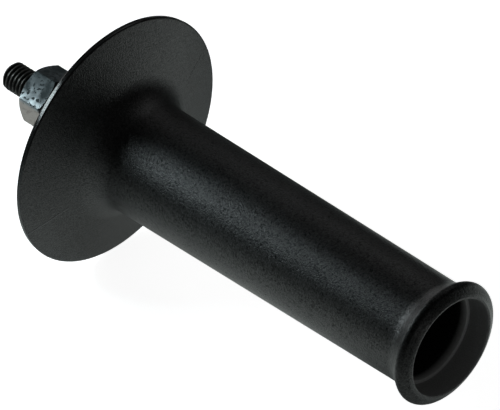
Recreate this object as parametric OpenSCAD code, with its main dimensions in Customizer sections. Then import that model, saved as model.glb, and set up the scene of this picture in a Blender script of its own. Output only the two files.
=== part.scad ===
// Side handle for a hand-held power tool: a hollow moulded grip with a round hand guard,
// held by a bolt whose threaded end stands out past a hexagon nut.
// The nut's outer face is at x = 0, the thread points to -X and the open end of the grip to +X.

/* [Grip] */
// Length from the nut's outer face to the open end
handle_l = 149.9; // [124:0.1:180]
// Diameter of the grip where it leaves the guard
grip_root_d = 31; // [28:0.1:37]
// Diameter of the grip just before the end bead
grip_end_d = 29.7; // [28:0.1:31.6]
// Diameter over the end bead
bead_d = 35.1; // [34:0.1:40]
// Distance from the start of the bead's flare to the open end
bead_l = 7.2; // [6.4:0.1:9]
// Diameter of the thin edge round the mouth
mouth_d = 29.1; // [28.9:0.1:30]

/* [Hollow] */
// Diameter of the recess just inside the mouth
recess_d = 27.8; // [26.6:0.1:28]
// Depth of the recess
recess_l = 6.8; // [5:0.1:12]
// Diameter of the hollow below the recess
bore_d = 25.8; // [22.5:0.1:26.4]
// Diameter of the hollow at its floor, smaller for draft
bore_floor_d = 23; // [19.5:0.5:25]

/* [Guard] */
// Diameter of the hand guard
guard_d = 71.2; // [60:0.1:90]
// Distance from the nut's outer face to the rim of the guard
guard_x = 28.1; // [24.5:0.1:33]
// Thickness at the guard's rim
guard_rim_t = 1.6; // [1.3:0.1:3]
// Thickness where the guard meets the boss
guard_root_t = 3; // [2.4:0.1:4]
// Slope of the dished guard, its rim swept back towards the tool
guard_slope = 16.5; // [8:0.5:20]
// Radius of the hollow curve between guard and grip
guard_fillet_r = 8.5; // [5:0.5:10]

/* [Boss] */
// Diameter of the boss where the nut bears on it
boss_d = 14; // [12:0.1:17]
// Draft of the boss on each side
boss_draft = 2.5; // [1:0.5:4]
// Radius of the hollow curve between boss and guard
boss_fillet_r = 6; // [3:0.5:8]

/* [Bolt and nut] */
// Diameter of the bolt over its thread
thread_d = 8; // [6:0.5:10]
// Length of thread that stands out past the nut
stud_l = 10.5; // [8:0.5:16]
// How much thinner the bolt is behind the length that stands out
shank_less = 0.8; // [0.6:0.1:1.2]
// Length of the bolt under its head
bolt_l = 45; // [43:1:50]
// Width of the bolt's head across its flats
head_af = 13; // [12:0.5:14]
// Height of the bolt's head
head_h = 5.3; // [4.5:0.1:6]
// Width of the nut across its flats
nut_af = 15; // [13:0.1:18]
// Height of the nut
nut_h = 8.5; // [6.5:0.5:12]
// Turn of the nut about its own axis
nut_turn = 11; // [0:1:60]

/* [Fits] */
// Gap on the radius between the bolt and the nut
thread_play = 0.05; // [0.02:0.01:0.1]
// Gap on the radius between the bolt and the hole through the boss
hole_play = 0.2; // [0.1:0.05:0.4]
// Gap between each flat of the bolt's head and its pocket
head_play = 0.15; // [0.1:0.05:0.3]

/* [Hidden] */
// Facets of a full turn, and degrees between the points of a rounded corner
$fn = 128;
arc_step = 7.5;
hole_r = thread_d / 2 + hole_play;
shank_r = (thread_d - shank_less) / 2;
// Places along the handle
seat_x = bolt_l - stud_l;
floor_x = seat_x + head_h + 0.7;
bead_x = handle_l - bead_l;
recess_x = handle_l - recess_l;
crest_x = handle_l - 2.1;
// Rounds of the moulding's edges
rim_round = guard_rim_t / 2 - 0.05;
edge_round = 0.8;
mouth_round = 0.35;
flare_round = 6;
crest_round = 1.7;
floor_round = 1.8;
// Chamfers of the bolt and nut
stud_chamfer = 0.9;
chamfer_slope = 30;
// How far the chamfer's circle on an end face lies inside the flats
land = 0.2;
// Countersink at each end of the nut's bore, at 45 degrees
nut_bore_r = shank_r + thread_play;
sink_r = thread_d / 2 + 0.3;
sink_l = sink_r - nut_bore_r;

// Point a given way along a line, and the crossing of two lines
function unit(v) = v / norm(v);
function crossing(p, u, q, v) = p + u * (cross(q - p, v) / cross(u, v));
// Points that round the corner b between a and c; a sharp corner stays as it is
function rounded_corner(a, b, c, r) =
    r == 0 ? [b] :
    let (u = unit(a - b), v = unit(c - b))
    let (half = acos(u * v) / 2, sweep = 180 - 2 * half)
    let (centre = b + unit(u + v) * r / sin(half))
    let (start = b + u * r / tan(half) - centre)
    let (side = cross(u, v) > 0 ? -1 : 1, steps = ceil(sweep / arc_step))
    [for (i = [0:steps]) let (t = side * sweep * i / steps)
        centre + [start.x * cos(t) - start.y * sin(t), start.x * sin(t) + start.y * cos(t)]];
// Outline through a list of [x, radius, rounding] corners
function rounded(list) = let (n = len(list), p = [for (k = list) [k[0], k[1]]])
    [for (i = [0:n - 1]) each rounded_corner(p[(i + n - 1) % n], p[i], p[(i + 1) % n], list[i][2])];

// Front of the guard: its rim corner and its direction towards the grip
rim_front = [guard_x + guard_rim_t / 2, guard_d / 2];
rim_back = [guard_x - guard_rim_t / 2, guard_d / 2];
front_way = [sin(guard_slope), -cos(guard_slope)];
// Side of the grip, from the guard to the bead
grip_start = [guard_x + 10.5, grip_root_d / 2];
grip_end = [bead_x, grip_end_d / 2];
grip_root = crossing(rim_front, front_way, grip_start, grip_end - grip_start);
// Side of the boss, and the back of the guard that runs into it
boss_end = [nut_h, boss_d / 2];
boss_way = [cos(boss_draft), sin(boss_draft)];
back_root = [grip_root.x - guard_root_t / cos(guard_slope), grip_root.y];
boss_root = crossing(boss_end, boss_way, rim_back, back_root - rim_back);

// Section of the moulding, from the boss round the outside and back along the hollow
moulding_section = rounded([
    [nut_h, hole_r, 0],
    [boss_end.x, boss_end.y, edge_round],
    [boss_root.x, boss_root.y, boss_fillet_r],
    [rim_back.x, rim_back.y, rim_round],
    [rim_front.x, rim_front.y, rim_round],
    [grip_root.x, grip_root.y, guard_fillet_r],
    [grip_end.x, grip_end.y, flare_round],
    [crest_x, bead_d / 2 + 0.7, crest_round],
    [handle_l, mouth_d / 2, mouth_round],
    [handle_l, recess_d / 2, mouth_round],
    [recess_x, recess_d / 2, 0],
    [recess_x, bore_d / 2, mouth_round],
    [floor_x, bore_floor_d / 2, floor_round],
    [floor_x, hole_r, 0]
]);

// Turns an outline of [x, radius] points about the handle's axis
module turned(outline) {
    rotate([0, 90, 0]) rotate_extrude() polygon([for (p = outline) [p[1], p[0]]]);
}

// Hexagon prism along the handle's axis, given its width across flats
module hex_bar(x0, x1, across_flats, turn = 0) {
    translate([x0, 0, 0]) rotate([0, 90, 0]) rotate([0, 0, turn])
        cylinder(r = across_flats / 2 / cos(30), h = x1 - x0, $fn = 6);
}

// Turned blank that chamfers a hexagon, at its low end, its high end or both
module hex_blank(x0, x1, across_flats, low, high) {
    flat_r = across_flats / 2 - land;
    top_r = across_flats / 2 / cos(30) + 0.5;
    drop = (top_r - flat_r) * tan(chamfer_slope);
    turned([
        [x0, 0],
        [x0, low ? flat_r : top_r],
        [x0 + (low ? drop : 0.01), top_r],
        [x1 - (high ? drop : 0.01), top_r],
        [x1, high ? flat_r : top_r],
        [x1, 0]
    ]);
}

// One moulding: boss, hand guard, hollow grip and end bead, with a pocket for the bolt's head
module handle_body() {
    color([0.09, 0.095, 0.095])
    difference() {
        turned(moulding_section);
        hex_bar(seat_x, floor_x + 1, head_af + 2 * head_play);
    }
}

// Bolt seated in the pocket from inside the hollow, its thread out through boss and nut
module bolt() {
    color([0.16, 0.16, 0.15]) {
        turned([
            [-stud_l, 0],
            [-stud_l, thread_d / 2 - stud_chamfer],
            [-stud_l + stud_chamfer, thread_d / 2],
            [0, thread_d / 2],
            [0, shank_r],
            [seat_x, shank_r],
            [seat_x, 0]
        ]);
        intersection() {
            hex_bar(seat_x, seat_x + head_h, head_af);
            hex_blank(seat_x, seat_x + head_h, head_af, false, true);
        }
    }
}

// Nut drawn up against the boss, chamfered and countersunk on both faces
module hex_nut() {
    color([0.55, 0.58, 0.59])
    difference() {
        intersection() {
            hex_bar(0, nut_h, nut_af, nut_turn);
            hex_blank(0, nut_h, nut_af, true, true);
        }
        turned([
            [-1, 0],
            [-1, sink_r + 1],
            [sink_l, nut_bore_r],
            [nut_h - sink_l, nut_bore_r],
            [nut_h + 1, sink_r + 1],
            [nut_h + 1, 0]
        ]);
    }
}

handle_body();
bolt();
hex_nut();
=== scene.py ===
"""Looks of a side handle: a black moulded grip with a hand guard, a black bolt and a zinc nut.

Every length is written in millimetres and turned into metres by MM. The handle lies along +X,
with the nut's outer face at x = 0 and the open end of the grip at the far end.
"""
from __future__ import annotations

import logging
import math
from collections.abc import Callable
from dataclasses import dataclass, field
from enum import Enum

import bmesh
import bpy
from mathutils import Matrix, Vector

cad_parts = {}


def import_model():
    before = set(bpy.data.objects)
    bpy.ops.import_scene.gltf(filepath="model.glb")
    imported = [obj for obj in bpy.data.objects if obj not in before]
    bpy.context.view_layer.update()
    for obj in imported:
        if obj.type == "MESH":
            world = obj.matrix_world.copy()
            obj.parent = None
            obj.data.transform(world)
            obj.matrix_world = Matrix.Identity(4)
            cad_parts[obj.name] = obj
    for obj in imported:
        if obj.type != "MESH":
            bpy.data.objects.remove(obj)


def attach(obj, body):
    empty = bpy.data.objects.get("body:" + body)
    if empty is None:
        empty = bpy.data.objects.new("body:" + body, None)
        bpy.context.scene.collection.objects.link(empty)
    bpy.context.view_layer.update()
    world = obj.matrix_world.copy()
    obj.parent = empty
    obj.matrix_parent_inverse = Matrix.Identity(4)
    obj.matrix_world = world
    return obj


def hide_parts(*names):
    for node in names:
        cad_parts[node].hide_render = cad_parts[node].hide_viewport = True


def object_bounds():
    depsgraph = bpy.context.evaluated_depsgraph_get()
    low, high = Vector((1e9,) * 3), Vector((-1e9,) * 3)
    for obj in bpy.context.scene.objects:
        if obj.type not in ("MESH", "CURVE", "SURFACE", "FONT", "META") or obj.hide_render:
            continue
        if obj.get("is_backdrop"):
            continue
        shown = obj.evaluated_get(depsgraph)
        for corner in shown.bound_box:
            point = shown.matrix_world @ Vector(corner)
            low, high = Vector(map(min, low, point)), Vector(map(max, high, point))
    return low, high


MM = 0.001
BODY = "root"
# Points round each turned piece, a multiple of both 4 and 6 so that hexagons keep their corners
TURN_POINTS = 192
LOG = logging.getLogger("side_handle")

Outline = list["Corner"]


class Slot(Enum):
    """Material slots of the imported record."""

    MOULDING = "moulding"
    BLACK_STEEL = "black_steel"
    ZINC_STEEL = "zinc_steel"


@dataclass(frozen=True)
class Corner:
    """One corner of a turned outline, in millimetres."""

    x: float
    r: float
    rounding: float = 0.0


# Outlines and turned meshes


def rounded_corner(before: Vector, at: Vector, after: Vector, radius: float, steps: int) -> list[Vector]:
    """Points of the arc that rounds one corner.

    Args:
        before: The corner before it.
        at: The corner to round.
        after: The corner after it.
        radius: Radius of the arc; 0 leaves the corner sharp.
        steps: How many stretches the arc is cut into.

    Returns:
        The arc's points in order, or the corner itself.
    """
    if radius == 0:
        return [at.copy()]
    back = (before - at).normalized()
    ahead = (after - at).normalized()
    half = back.angle(ahead) / 2
    centre = at + (back + ahead).normalized() * radius / math.sin(half)
    start = at + back * radius / math.tan(half) - centre
    sweep = math.pi - 2 * half
    side = -1.0 if back.x * ahead.y - back.y * ahead.x > 0 else 1.0
    points = []
    for step in range(steps + 1):
        turn = side * sweep * step / steps
        points.append(centre + Vector((
            start.x * math.cos(turn) - start.y * math.sin(turn),
            start.x * math.sin(turn) + start.y * math.cos(turn),
        )))
    return points


def round_outline(corners: Outline, closed: bool, steps: int) -> list[Vector]:
    """Rounds an outline's corners.

    Args:
        corners: The outline's corners.
        closed: Whether the last corner joins the first.
        steps: Stretches in each rounded corner.

    Returns:
        The outline's points, each as (x, radius), with the first repeated at the end of a loop.
    """
    places = [Vector((corner.x, corner.r)) for corner in corners]
    count = len(places)
    rounded: list[Vector] = []
    for index, corner in enumerate(corners):
        at_end = not closed and index in (0, count - 1)
        radius = 0.0 if at_end else corner.rounding
        rounded += rounded_corner(places[index - 1], places[index], places[(index + 1) % count], radius, steps)
    if closed:
        rounded.append(rounded[0])
    return rounded


def cut_stretches(points: list[Vector], cuts: list[int]) -> list[Vector]:
    """Cuts each stretch between two points into a given number of equal pieces."""
    cut: list[Vector] = []
    for start, end, pieces in zip(points, points[1:], cuts):
        cut += [start.lerp(end, piece / pieces) for piece in range(pieces)]
    return cut + [points[-1]]


def hexagon_radius(turn: float, across_flats: float, edge_round: float) -> float:
    """Distance from a hexagon's axis to its side.

    Args:
        turn: Angle from one of its corners, in radians.
        across_flats: Width across its flats.
        edge_round: Radius of its rounded edges.

    Returns:
        The distance, in the unit of the width.
    """
    sixth = math.pi / 3
    from_corner = abs((turn + sixth / 2) % sixth - sixth / 2)
    corner = across_flats / 2 / math.cos(sixth / 2)
    reach = corner - edge_round / math.cos(sixth / 2)
    arc_end = math.atan2(edge_round * math.sin(sixth / 2), reach + edge_round * math.cos(sixth / 2))
    if from_corner < arc_end:
        inside = edge_round**2 - (reach * math.sin(from_corner)) ** 2
        return reach * math.cos(from_corner) + math.sqrt(inside)
    return across_flats / 2 / math.cos(sixth / 2 - from_corner)


def turned_mesh(
    name: str,
    outline_at: Callable[[float], Outline],
    closed: bool,
    steps: int = 8,
    longest: float = 3.0,
) -> bpy.types.Object:
    """Makes a closed mesh by carrying an outline round the X axis.

    Args:
        name: Name of the new piece.
        outline_at: Gives the outline's corners at an angle from +Y towards +Z.
        closed: Whether the outline is a loop; an open one starts and ends on the axis.
        steps: Stretches in each rounded corner.
        longest: Longest straight stretch left whole, in millimetres.

    Returns:
        The new object, smooth with sharp edges where its faces meet at more than 35 degrees.
    """
    first = round_outline(outline_at(0.0), closed, steps)
    cuts = [max(1, math.ceil((end - start).length / longest)) for start, end in zip(first, first[1:])]
    mesh_build = bmesh.new()
    columns: list[list[bmesh.types.BMVert]] = []
    for index in range(TURN_POINTS):
        turn = 2 * math.pi * index / TURN_POINTS
        points = cut_stretches(round_outline(outline_at(turn), closed, steps), cuts)
        columns.append([
            mesh_build.verts.new((x * MM, r * MM * math.cos(turn), r * MM * math.sin(turn))) for x, r in points
        ])
    for column, following in zip(columns, columns[1:] + columns[:1]):
        for place in range(len(column) - 1):
            mesh_build.faces.new((column[place], column[place + 1], following[place + 1], following[place]))
    bmesh.ops.remove_doubles(mesh_build, verts=mesh_build.verts, dist=1e-7)
    bmesh.ops.dissolve_degenerate(mesh_build, edges=mesh_build.edges, dist=1e-7)
    bmesh.ops.recalc_face_normals(mesh_build, faces=mesh_build.faces)
    mesh = bpy.data.meshes.new(name)
    mesh_build.to_mesh(mesh)
    mesh_build.free()
    mesh.shade_smooth()
    mesh.set_sharp_from_angle(angle=math.radians(35))
    piece = bpy.data.objects.new(name, mesh)
    bpy.context.scene.collection.objects.link(piece)
    return piece


def crossing(start: Vector, way: Vector, other: Vector, other_way: Vector) -> Vector:
    """The point where two lines in the outline's plane cross."""
    gap = other - start
    share = (gap.x * other_way.y - gap.y * other_way.x) / (way.x * other_way.y - way.y * other_way.x)
    return start + way * share


# Node trees


class NodeTree:
    """Short calls for building a node tree."""

    def __init__(self, tree: bpy.types.NodeTree) -> None:
        """Starts from an empty tree."""
        self.tree = tree
        self.tree.nodes.clear()

    def add(self, kind: str, **settings: object) -> bpy.types.Node:
        """Adds a node and sets its own properties."""
        node = self.tree.nodes.new(kind)
        for name, value in settings.items():
            setattr(node, name, value)
        return node

    def link(self, source: bpy.types.NodeSocket, target: bpy.types.NodeSocket) -> None:
        """Joins two sockets."""
        self.tree.links.new(source, target)

    def feed(self, target: bpy.types.NodeSocket, value: object) -> None:
        """Sets a socket to a value, or joins it where the value is a socket."""
        if isinstance(value, bpy.types.NodeSocket):
            self.link(value, target)
        else:
            target.default_value = value

    def math(self, operation: str, *values: object, clamp: bool = False) -> bpy.types.NodeSocket:
        """Adds a Math node and returns its output."""
        node = self.add("ShaderNodeMath", operation=operation, use_clamp=clamp)
        for socket, value in zip(node.inputs, values):
            self.feed(socket, value)
        return node.outputs[0]

    def span(self, value: object, low: float, high: float, to_low: float = 0.0, to_high: float = 1.0) -> bpy.types.NodeSocket:
        """Adds a clamped Map Range node and returns its output."""
        node = self.add("ShaderNodeMapRange", clamp=True)
        for socket, number in zip(node.inputs, (value, low, high, to_low, to_high)):
            self.feed(socket, number)
        return node.outputs[0]


def new_socket(tree: bpy.types.NodeTree, name: str, inward: bool, kind: str, value: object = None) -> None:
    """Adds a named input or output to a node group."""
    socket = tree.interface.new_socket(
        name=name, in_out="INPUT" if inward else "OUTPUT", socket_type=f"NodeSocket{kind}"
    )
    if value is not None:
        socket.default_value = value


def grain_group() -> bpy.types.ShaderNodeTree:
    """Fine grain of two sizes, as a height and as patches of the coarser size.

    Returns:
        A group with inputs Fine, Coarse and Mix, and outputs Height and Patches.
    """
    tree = bpy.data.node_groups.new("surface_grain", "ShaderNodeTree")
    new_socket(tree, "Fine", True, "Float", 2400.0)
    new_socket(tree, "Coarse", True, "Float", 700.0)
    new_socket(tree, "Mix", True, "Float", 0.5)
    new_socket(tree, "Height", False, "Float")
    new_socket(tree, "Patches", False, "Float")
    build = NodeTree(tree)
    inputs = build.add("NodeGroupInput")
    outputs = build.add("NodeGroupOutput")
    place = build.add("ShaderNodeTexCoord").outputs["Object"]
    fine = build.add("ShaderNodeTexNoise")
    build.link(place, fine.inputs["Vector"])
    build.link(inputs.outputs["Fine"], fine.inputs["Scale"])
    fine.inputs["Detail"].default_value = 2.0
    coarse = build.add("ShaderNodeTexNoise")
    build.link(place, coarse.inputs["Vector"])
    build.link(inputs.outputs["Coarse"], coarse.inputs["Scale"])
    coarse.inputs["Detail"].default_value = 3.0
    blend = build.add("ShaderNodeMix", data_type="FLOAT")
    build.link(inputs.outputs["Mix"], blend.inputs["Factor"])
    build.link(fine.outputs["Fac"], blend.inputs["A"])
    build.link(coarse.outputs["Fac"], blend.inputs["B"])
    build.link(blend.outputs["Result"], outputs.inputs["Height"])
    build.link(coarse.outputs["Fac"], outputs.inputs["Patches"])
    return tree


@dataclass(frozen=True)
class Finish:
    """Colours and gloss that a finish starts from, as linear values."""

    name: str
    colour: tuple[float, float, float]
    masked_colour: tuple[float, float, float]
    roughness: float
    grain_height: float

    def start(self) -> tuple[bpy.types.Material, NodeTree, bpy.types.Node]:
        """Makes the material with its shader and output.

        Returns:
            The material, its node tree and its Principled shader.
        """
        material = bpy.data.materials.new(self.name)
        material.use_nodes = True
        build = NodeTree(material.node_tree)
        shader = build.add("ShaderNodeBsdfPrincipled")
        output = build.add("ShaderNodeOutputMaterial")
        build.link(shader.outputs["BSDF"], output.inputs["Surface"])
        return material, build, shader

    def colours(self, build: NodeTree, share: bpy.types.NodeSocket) -> bpy.types.NodeSocket:
        """Blends from the colour to the masked colour by a mask."""
        blend = build.add("ShaderNodeMix", data_type="RGBA")
        build.feed(blend.inputs[6], (*self.colour, 1.0))
        build.feed(blend.inputs[7], (*self.masked_colour, 1.0))
        build.link(share, blend.inputs[0])
        return blend.outputs[2]

    def grain(self, build: NodeTree, grain: bpy.types.NodeTree, fine: float, coarse: float, mix: float) -> bpy.types.Node:
        """Places the grain group with this finish's own sizes."""
        node = build.add("ShaderNodeGroup", node_tree=grain)
        for name, value in (("Fine", fine), ("Coarse", coarse), ("Mix", mix)):
            node.inputs[name].default_value = value
        return node

    def bump(self, build: NodeTree, height: object, distance: float, strength: float = 1.0, before: object = None) -> bpy.types.NodeSocket:
        """Adds a Bump node of a height in metres and returns its normal."""
        node = build.add("ShaderNodeBump")
        node.inputs["Strength"].default_value = strength
        node.inputs["Distance"].default_value = distance
        build.feed(node.inputs["Height"], height)
        if before is not None:
            build.link(before, node.inputs["Normal"])
        return node.outputs["Normal"]


@dataclass(frozen=True)
class MouldedPlastic(Finish):
    """Black plastic with a fine grain, faint scuffs and the line where the mould's halves met."""

    seam_turn: float = math.radians(201.0)
    seam_width: float = 0.3
    # The line shows on the guard alone, whose rim is rubbed smooth
    seam_r: float = 22.0
    rim_r: float = 35.6
    # Fine dull pits in the skin of the grip, which starts past the guard
    grip_start: float = 36.0
    pit_dull: float = 0.7
    # The face of the end bead is duller than the rest
    face_start: float = 146.2
    face_end: float = 149.7
    face_dull: float = 0.5
    # Painted light: a paler colour on the walls just inside the mouth stands in for light falling into the recess, in
    # millimetres
    recess_light_colour: tuple[float, float, float] = (0.32, 0.325, 0.32)
    mouth_r: float = 14.2
    recess_light_start: float = 140.5
    recess_light_end: float = 142.5

    def make(self, grain: bpy.types.NodeTree) -> bpy.types.Material:
        """Builds the material.

        Args:
            grain: The shared grain group.

        Returns:
            The finished material.
        """
        material, build, shader = self.start()
        surface = self.grain(build, grain, 3000.0, 1700.0, 0.35)
        place = build.add("ShaderNodeTexCoord").outputs["Object"]
        split = build.add("ShaderNodeSeparateXYZ")
        build.link(place, split.inputs[0])
        cloud = build.add("ShaderNodeTexNoise")
        build.link(place, cloud.inputs["Vector"])
        cloud.inputs["Scale"].default_value = 38.0
        cloud.inputs["Detail"].default_value = 4.0
        specks = build.span(surface.outputs["Patches"], 0.56, 0.74)
        haze = build.span(cloud.outputs["Fac"], 0.4, 0.75)
        wear = build.math("ADD", build.math("MULTIPLY", specks, 0.55), build.math("MULTIPLY", haze, 0.45), clamp=True)
        off_seam = build.math("ADD", build.math("MULTIPLY", split.outputs["Y"], -math.sin(self.seam_turn)),
                              build.math("MULTIPLY", split.outputs["Z"], math.cos(self.seam_turn)))
        across = build.math("ADD", build.math("POWER", split.outputs["Y"], 2.0), build.math("POWER", split.outputs["Z"], 2.0))
        radius = build.math("SQRT", across)
        seam = build.span(build.math("ABSOLUTE", off_seam), 0.0, self.seam_width * MM, 1.0, 0.0)
        seam = build.math("MULTIPLY", seam, build.span(radius, self.seam_r * MM, (self.seam_r + 3.0) * MM))
        wear = build.math("MULTIPLY_ADD", seam, 0.8, wear, clamp=True)
        inside = build.span(radius, self.mouth_r * MM, (self.mouth_r - 0.5) * MM)
        rim = build.span(radius, (self.rim_r - 0.5) * MM, (self.rim_r - 0.15) * MM)
        near_mouth = build.span(split.outputs["X"], self.recess_light_start * MM, self.recess_light_end * MM)
        # Painted light: the walls just inside the mouth turn a paler grey, as if lit from the front
        recess_light = build.add("ShaderNodeMix", data_type="RGBA")
        build.link(build.math("MULTIPLY", inside, near_mouth), recess_light.inputs[0])
        build.link(self.colours(build, wear), recess_light.inputs[6])
        build.feed(recess_light.inputs[7], (*self.recess_light_colour, 1.0))
        build.link(recess_light.outputs[2], shader.inputs["Base Color"])
        shine = build.span(surface.outputs["Height"], 0.38, 0.62, 0.27, 0.73)
        pits = build.add("ShaderNodeTexNoise")
        build.link(place, pits.inputs["Vector"])
        pits.inputs["Scale"].default_value = 1380.0
        pits.inputs["Detail"].default_value = 1.0
        on_grip = build.span(split.outputs["X"], self.grip_start * MM, (self.grip_start + 6.0) * MM)
        pitted = build.math("MULTIPLY", build.span(pits.outputs["Fac"], 0.52, 0.76), on_grip)
        shine = build.math("MULTIPLY", shine, build.math("MULTIPLY_ADD", pitted, -self.pit_dull, 1.0))
        face = build.span(split.outputs["X"], self.face_start * MM, (self.face_start + 1.0) * MM)
        face = build.math("MULTIPLY", face, build.span(split.outputs["X"], (self.face_end - 0.3) * MM, self.face_end * MM, 1.0, 0.0))
        shine = build.math("MULTIPLY", shine, build.math("MULTIPLY_ADD", face, -self.face_dull, 1.0))
        build.link(build.math("MULTIPLY_ADD", seam, 0.35, shine), shader.inputs["Specular IOR Level"])
        gloss = build.math("MULTIPLY_ADD", surface.outputs["Patches"], 0.16, self.roughness - 0.08)
        gloss = build.math("MULTIPLY_ADD", haze, 0.05, gloss)
        build.link(build.math("MULTIPLY_ADD", rim, -0.18, gloss), shader.inputs["Roughness"])
        smooth = build.math("MULTIPLY_ADD", build.math("MAXIMUM", inside, rim), -0.9, 1.0)
        grained = self.bump(build, build.math("MULTIPLY", surface.outputs["Height"], smooth), self.grain_height * MM)
        build.link(self.bump(build, seam, 0.12 * MM, 0.8, grained), shader.inputs["Normal"])
        shader.inputs["IOR"].default_value = 1.5
        return material


@dataclass(frozen=True)
class BlackOxide(Finish):
    """Blackened steel, rubbed lighter on the crests of its thread."""

    crest_r: float = 4.0
    root_r: float = 3.3

    def make(self, grain: bpy.types.NodeTree) -> bpy.types.Material:
        """Builds the material.

        Args:
            grain: The shared grain group.

        Returns:
            The finished material.
        """
        material, build, shader = self.start()
        surface = self.grain(build, grain, 3200.0, 900.0, 0.5)
        split = build.add("ShaderNodeSeparateXYZ")
        build.link(build.add("ShaderNodeTexCoord").outputs["Object"], split.inputs[0])
        square = build.math("ADD", build.math("POWER", split.outputs["Y"], 2.0), build.math("POWER", split.outputs["Z"], 2.0))
        radius = build.math("SQRT", square)
        crest = build.span(radius, (self.root_r + 0.3) * MM, self.crest_r * MM)
        rubbed = build.math("MULTIPLY", crest, build.span(surface.outputs["Patches"], 0.3, 0.62), clamp=True)
        build.link(self.colours(build, rubbed), shader.inputs["Base Color"])
        shader.inputs["Metallic"].default_value = 0.7
        build.link(build.span(surface.outputs["Patches"], 0.3, 0.7, self.roughness - 0.1, self.roughness + 0.12),
                   shader.inputs["Roughness"])
        build.link(self.bump(build, surface.outputs["Height"], self.grain_height * MM), shader.inputs["Normal"])
        return material


@dataclass(frozen=True)
class ZincPlate(Finish):
    """Zinc on steel: cloudy grey with pits that have lost their plating, painted shade darkening it towards the top
    and painted light paling its lower part.
    """

    # Painted light on the nut's lower part
    underside_light_colour: tuple[float, float, float] = (0.42, 0.385, 0.365)

    def make(self, grain: bpy.types.NodeTree) -> bpy.types.Material:
        """Builds the material.

        Args:
            grain: The shared grain group.

        Returns:
            The finished material.
        """
        material, build, shader = self.start()
        surface = self.grain(build, grain, 1500.0, 420.0, 0.55)
        place = build.add("ShaderNodeTexCoord").outputs["Object"]
        pits = build.add("ShaderNodeTexNoise")
        build.link(place, pits.inputs["Vector"])
        pits.inputs["Scale"].default_value = 1100.0
        pits.inputs["Detail"].default_value = 2.5
        cloud = build.add("ShaderNodeTexNoise")
        build.link(place, cloud.inputs["Vector"])
        cloud.inputs["Scale"].default_value = 260.0
        cloud.inputs["Detail"].default_value = 3.0
        pitted = build.span(pits.outputs["Fac"], 0.55, 0.63)
        clouded = build.span(cloud.outputs["Fac"], 0.35, 0.7)
        split = build.add("ShaderNodeSeparateXYZ")
        build.link(place, split.inputs[0])
        # Painted shade: the nut darkens towards its top, where less light falls, with a cloudy edge
        height = build.math("MULTIPLY_ADD", cloud.outputs["Fac"], 0.006, split.outputs["Z"])
        painted_top_shade = build.span(height, 0.0054, 0.0090)
        marks_and_painted_shade = build.math("ADD", build.math("MULTIPLY", pitted, 0.75), build.math("MULTIPLY", clouded, 0.25))
        marks_and_painted_shade = build.math("ADD", marks_and_painted_shade, build.math("MULTIPLY", painted_top_shade, 0.8), clamp=True)
        # Painted light: the nut's lower part turns a pale warm grey, as if lit by the floor beneath
        underside_light = build.add("ShaderNodeMix", data_type="RGBA")
        build.link(build.span(split.outputs["Z"], 0.0026, 0.0014), underside_light.inputs[0])
        build.link(self.colours(build, marks_and_painted_shade), underside_light.inputs[6])
        build.feed(underside_light.inputs[7], (*self.underside_light_colour, 1.0))
        build.link(underside_light.outputs[2], shader.inputs["Base Color"])
        shader.inputs["Metallic"].default_value = 1.0
        build.link(build.math("MULTIPLY_ADD", marks_and_painted_shade, 0.25, self.roughness), shader.inputs["Roughness"])
        ground = self.bump(build, surface.outputs["Height"], self.grain_height * MM)
        build.link(self.bump(build, pitted, -0.03 * MM, 1.0, ground), shader.inputs["Normal"])
        return material


# The handle's pieces


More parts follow.
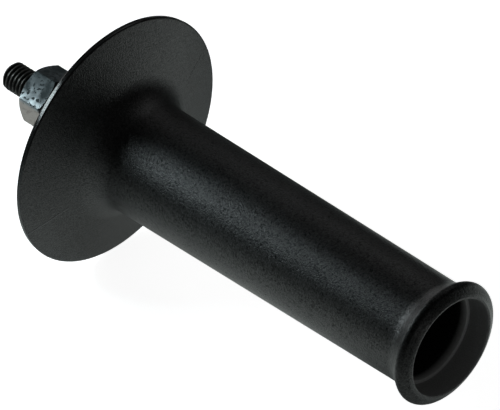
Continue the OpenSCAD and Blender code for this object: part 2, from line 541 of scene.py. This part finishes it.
@dataclass
class Moulding:
    """The black moulding: boss, hand guard, hollow grip and end bead."""

    length: float = 149.9
    grip_root_r: float = 15.5
    grip_end_r: float = 14.85
    bead_r: float = 17.55
    bead_l: float = 7.2
    mouth_r: float = 14.55
    recess_r: float = 13.9
    recess_l: float = 6.8
    bore_r: float = 12.9
    bore_floor_r: float = 11.5
    guard_r: float = 35.6
    guard_x: float = 28.1
    guard_rim_t: float = 1.6
    guard_root_t: float = 3.0
    guard_slope: float = math.radians(16.5)
    rim_draft: float = math.radians(6.5)
    guard_fillet_r: float = 8.5
    boss_r: float = 7.0
    boss_x: float = 8.5
    boss_draft: float = math.radians(2.5)
    boss_fillet_r: float = 6.0
    hole_r: float = 4.2
    pocket_af: float = 13.3
    seat_x: float = 34.5
    floor_x: float = 40.5

    def outline(self, turn: float) -> Outline:
        """Corners of the section at one angle, from the boss round the outside and back inside."""
        rim_front = Vector((self.guard_x + self.guard_rim_t / 2, self.guard_r))
        rim_back = Vector((self.guard_x - self.guard_rim_t / 2, self.guard_r - self.guard_rim_t * math.tan(self.rim_draft)))
        front_way = Vector((math.sin(self.guard_slope), -math.cos(self.guard_slope)))
        grip_start = Vector((self.guard_x + 10.5, self.grip_root_r))
        grip_end = Vector((self.length - self.bead_l, self.grip_end_r))
        grip_root = crossing(rim_front, front_way, grip_start, grip_end - grip_start)
        back_root = Vector((grip_root.x - self.guard_root_t / math.cos(self.guard_slope), grip_root.y))
        boss_way = Vector((math.cos(self.boss_draft), math.sin(self.boss_draft)))
        boss_end = Vector((self.boss_x, self.boss_r))
        boss_root = crossing(boss_end, boss_way, rim_back, back_root - rim_back)
        pocket = hexagon_radius(turn - math.pi / 2, self.pocket_af, 0.2)
        rim_round = 0.36
        return [
            Corner(self.boss_x, self.hole_r),
            Corner(boss_end.x, boss_end.y, 0.8),
            Corner(boss_root.x, boss_root.y, self.boss_fillet_r),
            Corner(rim_back.x, rim_back.y, rim_round),
            Corner(rim_front.x, rim_front.y, rim_round),
            Corner(grip_root.x, grip_root.y, self.guard_fillet_r),
            Corner(grip_end.x, grip_end.y, 6.0),
            Corner(self.length - 2.1, self.bead_r + 0.7, 1.7),
            Corner(self.length, self.mouth_r, 0.35),
            Corner(self.length, self.recess_r, 0.35),
            Corner(self.length - self.recess_l, self.recess_r),
            Corner(self.length - self.recess_l, self.bore_r, 0.35),
            Corner(self.floor_x, self.bore_floor_r, 1.8),
            Corner(self.floor_x, pocket, 0.15),
            Corner(self.seat_x, pocket),
            Corner(self.seat_x, self.hole_r),
        ]

    def build(self) -> bpy.types.Object:
        """Makes the moulding's mesh."""
        return turned_mesh("moulding", self.outline, closed=True, steps=12)

    def dress(self, piece: bpy.types.Object, grain: bpy.types.NodeTree) -> None:
        """Gives the moulding its finish and its place in the frame."""
        finish = MouldedPlastic(
            name="black_moulded_plastic",
            colour=(0.0035, 0.0040, 0.0040),
            masked_colour=(0.011, 0.0122, 0.0122),
            roughness=0.34,
            grain_height=0.2,
        )
        piece.data.materials.append(finish.make(grain))
        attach(piece, BODY)
        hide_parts("handle_body")


@dataclass
class Nut:
    """The zinc-plated nut, chamfered on both faces."""

    across_flats: float = 15.0
    height: float = 8.5
    bore_r: float = 3.65
    sink_r: float = 4.3
    turn: float = math.radians(11.0)
    edge_round: float = 0.6
    land: float = 0.2
    chamfer: float = math.radians(30.0)

    def outline(self, turn: float) -> Outline:
        """Corners of the nut's section at one angle."""
        side = hexagon_radius(turn - math.pi / 2 - self.turn, self.across_flats, self.edge_round)
        face_r = self.across_flats / 2 - self.land
        drop = (side - face_r) * math.tan(self.chamfer)
        sink = self.sink_r - self.bore_r
        return [
            Corner(0.0, self.sink_r),
            Corner(0.0, face_r, 0.0),
            Corner(drop, side, 0.0),
            Corner(self.height - drop, side, 0.0),
            Corner(self.height, face_r, 0.0),
            Corner(self.height, self.sink_r),
            Corner(self.height - sink, self.bore_r),
            Corner(sink, self.bore_r),
        ]

    def build(self) -> bpy.types.Object:
        """Makes the nut's mesh."""
        return turned_mesh("zinc_nut", self.outline, closed=True, steps=3, longest=20.0)

    def dress(self, piece: bpy.types.Object, grain: bpy.types.NodeTree) -> None:
        """Gives the nut its finish and its place in the frame."""
        finish = ZincPlate(
            name="blotchy_zinc",
            colour=(0.38, 0.42, 0.44),
            # On the nut the masked colour is both the pits' colour and the painted shade on its top
            masked_colour=(0.045, 0.055, 0.058),
            roughness=0.46,
            grain_height=0.05,
        )
        piece.data.materials.append(finish.make(grain))
        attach(piece, BODY)
        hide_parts("hex_nut")


@dataclass
class Bolt:
    """The blackened bolt: a helical thread, and the shank and head that the moulding hides."""

    thread_r: float = 4.0
    pitch: float = 1.25
    thread_depth: float = 0.68
    stud_l: float = 10.5
    chamfer: float = 0.9
    thread_end: float = 0.0
    shank_r: float = 3.6
    seat_x: float = 34.5
    head_af: float = 13.0
    head_h: float = 5.3
    rows_per_pitch: int = 20
    thread_inputs: dict[str, float] = field(default_factory=dict)

    def thread_tree(self, material: bpy.types.Material) -> bpy.types.GeometryNodeTree:
        """Builds the tree that rolls a grid into a threaded cylinder.

        Args:
            material: The finish that the tree sets.

        Returns:
            A tree whose named inputs are the thread's sizes, in metres.
        """
        tree = bpy.data.node_groups.new("rolled_thread", "GeometryNodeTree")
        new_socket(tree, "Geometry", False, "Geometry")
        sizes = {
            "Radius": self.thread_r * MM,
            "Depth": self.thread_depth * MM,
            "Pitch": self.pitch * MM,
            "Start": -self.stud_l * MM,
            "Length": (self.stud_l + self.thread_end) * MM,
            "Chamfer": self.chamfer * MM,
        }
        new_socket(tree, "Geometry", True, "Geometry")
        for name, value in sizes.items():
            new_socket(tree, name, True, "Float", value)
        self.thread_inputs = sizes
        build = NodeTree(tree)
        inputs = build.add("NodeGroupInput").outputs
        rows = math.ceil((self.stud_l + self.thread_end) / self.pitch * self.rows_per_pitch) + 1
        sheet = build.add("GeometryNodeMeshGrid")
        build.feed(sheet.inputs["Size X"], 1.0)
        build.feed(sheet.inputs["Size Y"], 1.0)
        build.feed(sheet.inputs["Vertices X"], rows)
        build.feed(sheet.inputs["Vertices Y"], TURN_POINTS + 1)
        split = build.add("ShaderNodeSeparateXYZ")
        build.link(build.add("GeometryNodeInputPosition").outputs[0], split.inputs[0])
        along = build.math("ADD", split.outputs["X"], 0.5)
        round_share = build.math("ADD", split.outputs["Y"], 0.5)
        past_start = build.math("MULTIPLY", along, inputs["Length"])
        x = build.math("ADD", inputs["Start"], past_start)
        phase = build.math("FRACT", build.math("ADD", build.math("DIVIDE", past_start, inputs["Pitch"]), round_share))
        ridge = build.math("ABSOLUTE", build.math("MULTIPLY_ADD", phase, 2.0, -1.0))
        rise = build.span(ridge, 0.22, 0.84)
        valley = build.math("MULTIPLY", build.math("SUBTRACT", 1.0, rise), inputs["Depth"])
        thread = build.math("SUBTRACT", inputs["Radius"], valley)
        nose = build.math("ADD", build.math("SUBTRACT", inputs["Radius"], inputs["Chamfer"]), past_start)
        radius = build.math("MINIMUM", thread, nose)
        turn = build.math("MULTIPLY", round_share, 2 * math.pi)
        join = build.add("ShaderNodeCombineXYZ")
        build.link(x, join.inputs["X"])
        build.link(build.math("MULTIPLY", radius, build.math("COSINE", turn)), join.inputs["Y"])
        build.link(build.math("MULTIPLY", radius, build.math("SINE", turn)), join.inputs["Z"])
        roll = build.add("GeometryNodeSetPosition")
        build.link(sheet.outputs["Mesh"], roll.inputs["Geometry"])
        build.link(join.outputs[0], roll.inputs["Position"])
        weld = build.add("GeometryNodeMergeByDistance")
        build.link(roll.outputs[0], weld.inputs["Geometry"])
        build.feed(weld.inputs["Distance"], 1e-6)
        plain = build.add("GeometryNodeRealizeInstances")
        build.link(weld.outputs[0], plain.inputs[0])
        paint = build.add("GeometryNodeSetMaterial")
        build.link(plain.outputs[0], paint.inputs["Geometry"])
        paint.inputs["Material"].default_value = material
        build.link(paint.outputs[0], build.add("NodeGroupOutput").inputs["Geometry"])
        return tree

    def build_thread(self, material: bpy.types.Material) -> bpy.types.Object:
        """Makes the threaded length as a closed mesh."""
        carrier = bpy.data.objects.new("thread_carrier", bpy.data.meshes.new("thread_carrier"))
        bpy.context.scene.collection.objects.link(carrier)
        modifier = carrier.modifiers.new("thread", "NODES")
        modifier.node_group = self.thread_tree(material)
        for socket in modifier.node_group.interface.items_tree:
            if socket.in_out == "INPUT" and socket.name in self.thread_inputs:
                modifier[socket.identifier] = self.thread_inputs[socket.name]
        evaluated = carrier.evaluated_get(bpy.context.evaluated_depsgraph_get())
        mesh = bpy.data.meshes.new_from_object(evaluated)
        carrier.modifiers.clear()
        bpy.data.objects.remove(carrier)
        close = bmesh.new()
        close.from_mesh(mesh)
        open_edges = [edge for edge in close.edges if edge.is_boundary]
        bmesh.ops.holes_fill(close, edges=open_edges, sides=0)
        bmesh.ops.recalc_face_normals(close, faces=close.faces)
        close.to_mesh(mesh)
        close.free()
        mesh.name = "bolt_thread"
        mesh.shade_smooth()
        mesh.set_sharp_from_angle(angle=math.radians(35))
        piece = bpy.data.objects.new("bolt_thread", mesh)
        bpy.context.scene.collection.objects.link(piece)
        return piece

    def shank_outline(self, turn: float) -> Outline:
        """Corners of the shank and head at one angle, from the end of the thread."""
        side = hexagon_radius(turn - math.pi / 2, self.head_af, 0.3)
        face_r = self.head_af / 2 - 0.2
        drop = (side - face_r) * math.tan(math.radians(30))
        top = self.seat_x + self.head_h
        return [
            Corner(self.thread_end, 0.0),
            Corner(self.thread_end, self.shank_r),
            Corner(self.seat_x, self.shank_r),
            Corner(self.seat_x, side, 0.15),
            Corner(top - drop, side, 0.12),
            Corner(top, face_r, 0.12),
            Corner(top, 0.0),
        ]

    def build_shank(self) -> bpy.types.Object:
        """Makes the shank and head."""
        return turned_mesh("bolt_shank_and_head", self.shank_outline, closed=False, steps=3, longest=40.0)

    def build_all(self, grain: bpy.types.NodeTree) -> list[bpy.types.Object]:
        """Makes and dresses the bolt.

        Args:
            grain: The shared grain group.

        Returns:
            Its threaded length, and its shank and head.
        """
        finish = BlackOxide(
            name="black_oxide_steel",
            colour=(0.012, 0.012, 0.0115),
            masked_colour=(0.11, 0.108, 0.10),
            roughness=0.42,
            grain_height=0.02,
            crest_r=self.thread_r,
            root_r=self.thread_r - self.thread_depth,
        )
        material = finish.make(grain)
        thread = self.build_thread(material)
        shank = self.build_shank()
        shank.data.materials.append(material)
        for piece in (thread, shank):
            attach(piece, BODY)
            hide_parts("bolt")
        return [thread, shank]


# Camera, floor and light


@dataclass(frozen=True)
class Viewpoint:
    """The photograph's camera: a long lens that looks along the handle from its open end."""

    image_width: int = 500
    azimuth: float = math.radians(44.6)
    elevation: float = math.radians(39.0)
    focal_px: float = 12000.0
    px_per_mm: float = 3.83
    # The image's centre, seen from a place near the guard's centre, in pixels right and down
    guard_x: float = 27.92
    centre_right_px: float = 135.5
    centre_down_px: float = 66.6

    def axes(self) -> tuple[Vector, Vector, Vector]:
        """Directions to the right, up and back towards the camera."""
        back = Vector((
            math.sin(self.azimuth) * math.cos(self.elevation),
            -math.cos(self.azimuth) * math.cos(self.elevation),
            math.sin(self.elevation),
        ))
        right = Vector((math.cos(self.azimuth), math.sin(self.azimuth), 0.0))
        return right, back.cross(right), back

    def build(self) -> bpy.types.Object:
        """Makes the camera and sets it as the scene's own."""
        right, up, back = self.axes()
        aim = Vector((self.guard_x, 0.0, 0.0))
        aim += right * (self.centre_right_px / self.px_per_mm) - up * (self.centre_down_px / self.px_per_mm)
        data = bpy.data.cameras.new("camera")
        data.sensor_width = 36.0
        data.lens = self.focal_px * data.sensor_width / self.image_width
        data.clip_end = 50.0
        camera = bpy.data.objects.new("camera", data)
        camera.location = (aim + back * (self.focal_px / self.px_per_mm)) * MM
        camera.rotation_mode = "QUATERNION"
        camera.rotation_quaternion = (-back).to_track_quat("-Z", "Y")
        bpy.context.scene.collection.objects.link(camera)
        bpy.context.scene.camera = camera
        return camera


@dataclass(frozen=True)
class SoftBox:
    """A large soft lamp that faces the handle."""

    name: str
    towards: tuple[float, float, float]
    distance: float
    width: float
    height: float
    power: float
    colour: tuple[float, float, float] = (1.0, 1.0, 1.0)

    def build(self, aim: Vector) -> bpy.types.Object:
        """Makes the lamp, facing a point given in metres."""
        data = bpy.data.lights.new(self.name, "AREA")
        data.shape = "RECTANGLE"
        data.size = self.width
        data.size_y = self.height
        data.energy = self.power
        data.color = self.colour
        lamp = bpy.data.objects.new(self.name, data)
        way = Vector(self.towards).normalized()
        lamp.location = aim + way * self.distance
        lamp.rotation_mode = "QUATERNION"
        lamp.rotation_quaternion = (-way).to_track_quat("-Z", "Y")
        bpy.context.scene.collection.objects.link(lamp)
        return lamp


@dataclass(frozen=True)
class Pool:
    """A round patch of the floor whose mirrored glow differs, a painted reflection, in millimetres."""

    x: float
    y: float
    inner: float
    outer: float
    gain: float

    def shade(
        self, build: NodeTree, place: bpy.types.NodeSocket, height: float, inside: float, outside: float
    ) -> bpy.types.NodeSocket:
        """Goes from one value inside the patch to another outside it.

        Args:
            build: The floor's node tree.
            place: Position on the floor, in metres.
            height: Height of the floor, in metres.
            inside: Value within the inner radius.
            outside: Value past the outer radius.

        Returns:
            The value.
        """
        away = build.add("ShaderNodeVectorMath", operation="DISTANCE")
        build.link(place, away.inputs[0])
        away.inputs[1].default_value = (self.x * MM, self.y * MM, height)
        return build.span(away.outputs["Value"], self.inner * MM, self.outer * MM, inside, outside)


@dataclass
class Studio:
    """Plain pale floor with painted reflections in it, soft lamps and a dim surround."""

    floor_size: float = 6.0
    floor_gap: float = 0.2
    floor_colour: tuple[float, float, float] = (0.86, 0.87, 0.87)
    # Painted reflection: mirrors see a darker, green-tinted copy of the floor and a green-tinted glow
    mirrored_colour: tuple[float, float, float] = (0.36, 0.38, 0.37)
    mirrored_tint: tuple[float, float, float] = (1.488, 1.6, 1.552)
    floor_glow: float = 0.92
    surround: float = 0.05
    # Painted reflection: the floor's glow shows only in mirrored light, past the handle's open end, and fades out
    # towards the nut
    fade_start: float = -0.015
    fade_end: float = 0.065
    near_share: float = 0.0
    far_share: float = 0.45
    # Painted reflections: where the mirrored glow is stronger or weaker than round it, and the pool that the nut
    # mirrors
    pools: tuple[Pool, ...] = (
        Pool(178.0, 110.0, 10.0, 45.0, 0.1),
        Pool(132.0, -4.0, 16.0, 42.0, 0.25),
        Pool(43.0, -24.0, 3.0, 11.0, 1.6),
    )
    nut_pool: Pool = Pool(-35.0, -20.0, 20.0, 45.0, 0.375)

    def floor(self, lowest: float) -> bpy.types.Object:
        """Makes the floor just below the object, white to the camera; mirrors see painted reflections in it, a darker
        tinted floor with glowing patches.
        """
        half = self.floor_size / 2
        height = lowest - self.floor_gap * MM
        mesh = bpy.data.meshes.new("floor")
        corners = [(-half, -half, height), (half, -half, height), (half, half, height), (-half, half, height)]
        mesh.from_pydata(corners, [], [(0, 1, 2, 3)])
        material = bpy.data.materials.new("pale_floor")
        material.use_nodes = True
        build = NodeTree(material.node_tree)
        diffuse = build.add("ShaderNodeBsdfDiffuse")
        glow = build.add("ShaderNodeEmission")
        glow.inputs["Strength"].default_value = self.floor_glow
        path = build.add("ShaderNodeLightPath")
        tint = build.add("ShaderNodeMix", data_type="RGBA")
        build.link(path.outputs["Is Glossy Ray"], tint.inputs[0])
        build.feed(tint.inputs[6], (1.0, 1.0, 1.0, 1.0))
        build.feed(tint.inputs[7], (*self.mirrored_tint, 1.0))
        build.link(tint.outputs[2], glow.inputs["Color"])
        tone = build.add("ShaderNodeMix", data_type="RGBA")
        build.link(path.outputs["Is Glossy Ray"], tone.inputs[0])
        build.feed(tone.inputs[6], (*self.floor_colour, 1.0))
        build.feed(tone.inputs[7], (*self.mirrored_colour, 1.0))
        build.link(tone.outputs[2], diffuse.inputs["Color"])
        lift = build.add("ShaderNodeAddShader")
        build.link(diffuse.outputs[0], lift.inputs[0])
        build.link(glow.outputs[0], lift.inputs[1])
        choose = build.add("ShaderNodeMixShader")
        split = build.add("ShaderNodeSeparateXYZ")
        place = build.add("ShaderNodeTexCoord").outputs["Object"]
        build.link(place, split.inputs[0])
        # Painted reflections: the mirrored glow is shaped by place on the floor and by the pools
        along = build.math("SUBTRACT", build.math("MULTIPLY", split.outputs["X"], 0.9), build.math("MULTIPLY", split.outputs["Y"], 0.35))
        share = build.span(along, self.fade_start, self.fade_end, self.near_share, self.far_share)
        share = build.math("MULTIPLY", share, build.span(split.outputs["Y"], -0.2, -0.05, 0.5, 0.95))
        share = build.math("MULTIPLY", share, build.span(split.outputs["Y"], 0.04, 0.14, 1.0, 2.4))
        share = build.math("MULTIPLY", share, build.span(split.outputs["X"], 0.19, 0.3, 1.0, 0.1))
        for pool in self.pools:
            share = build.math("MULTIPLY", share, pool.shade(build, place, height, pool.gain, 1.0))
        under_nut = self.nut_pool.shade(build, place, height, self.nut_pool.gain, 0.0)
        mirrored = build.math("MULTIPLY", path.outputs["Is Glossy Ray"], build.math("MAXIMUM", share, under_nut))
        seen = build.math("MAXIMUM", path.outputs["Is Camera Ray"], mirrored)
        build.link(build.math("MAXIMUM", seen, path.outputs["Is Transmission Ray"]), choose.inputs[0])
        build.link(diffuse.outputs[0], choose.inputs[1])
        build.link(lift.outputs[0], choose.inputs[2])
        build.link(choose.outputs[0], build.add("ShaderNodeOutputMaterial").inputs["Surface"])
        mesh.materials.append(material)
        floor = bpy.data.objects.new("floor", mesh)
        bpy.context.scene.collection.objects.link(floor)
        floor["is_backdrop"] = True
        return floor

    def world(self) -> None:
        """Sets the even light from all round."""
        world = bpy.data.worlds.new("surround")
        world.use_nodes = True
        build = NodeTree(world.node_tree)
        background = build.add("ShaderNodeBackground")
        background.inputs["Strength"].default_value = self.surround
        build.link(background.outputs[0], build.add("ShaderNodeOutputWorld").inputs["Surface"])
        bpy.context.scene.world = world

    def lamps(self, aim: Vector) -> None:
        """Makes the lamps, aimed at the middle of the handle."""
        boxes = [
            SoftBox("key", (-0.737, -0.482, 0.482), 0.243, 0.1, 0.06, 0.235, (0.83, 0.965, 1.0)),
            SoftBox("top", (-0.25, 0.75, 0.85), 1.6, 1.0, 0.8, 1.6),
            SoftBox("back", (-0.95, -0.12, 0.27), 1.2, 0.4, 0.5, 1.8),
            SoftBox("side", (-0.85, 0.52, 0.04), 1.2, 0.3, 0.3, 0.45),
        ]
        for box in boxes:
            box.build(aim)
        # A small lamp before the mouth, hidden from the guard by the bead, shines into the recess
        mouth = SoftBox("mouth", (33.0, -17.0, 19.5), 0.042, 0.004, 0.004, 0.00075)
        mouth.build(Vector((0.147, 0.009, -0.0105)))

    def build(self, low: Vector, high: Vector) -> None:
        """Makes the floor, surround and lamps round a box."""
        self.floor(low.z)
        self.world()
        self.lamps((low + high) / 2)
        bpy.context.scene.view_settings.view_transform = "Standard"


def main() -> None:
    """Builds the handle and its studio in order."""
    logging.basicConfig(level=logging.INFO, format="%(message)s")
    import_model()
    cad_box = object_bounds()
    Viewpoint().build()
    grain = grain_group()
    moulding = Moulding()
    body = moulding.build()
    moulding.dress(body, grain)
    LOG.info("%s: %d faces", body.name, len(body.data.polygons))
    nut = Nut()
    nut_piece = nut.build()
    nut.dress(nut_piece, grain)
    LOG.info("%s: %d faces", nut_piece.name, len(nut_piece.data.polygons))
    for piece in Bolt().build_all(grain):
        LOG.info("%s: %d faces", piece.name, len(piece.data.polygons))
    Studio().build(*cad_box)


if __name__ == "__main__":
    main()
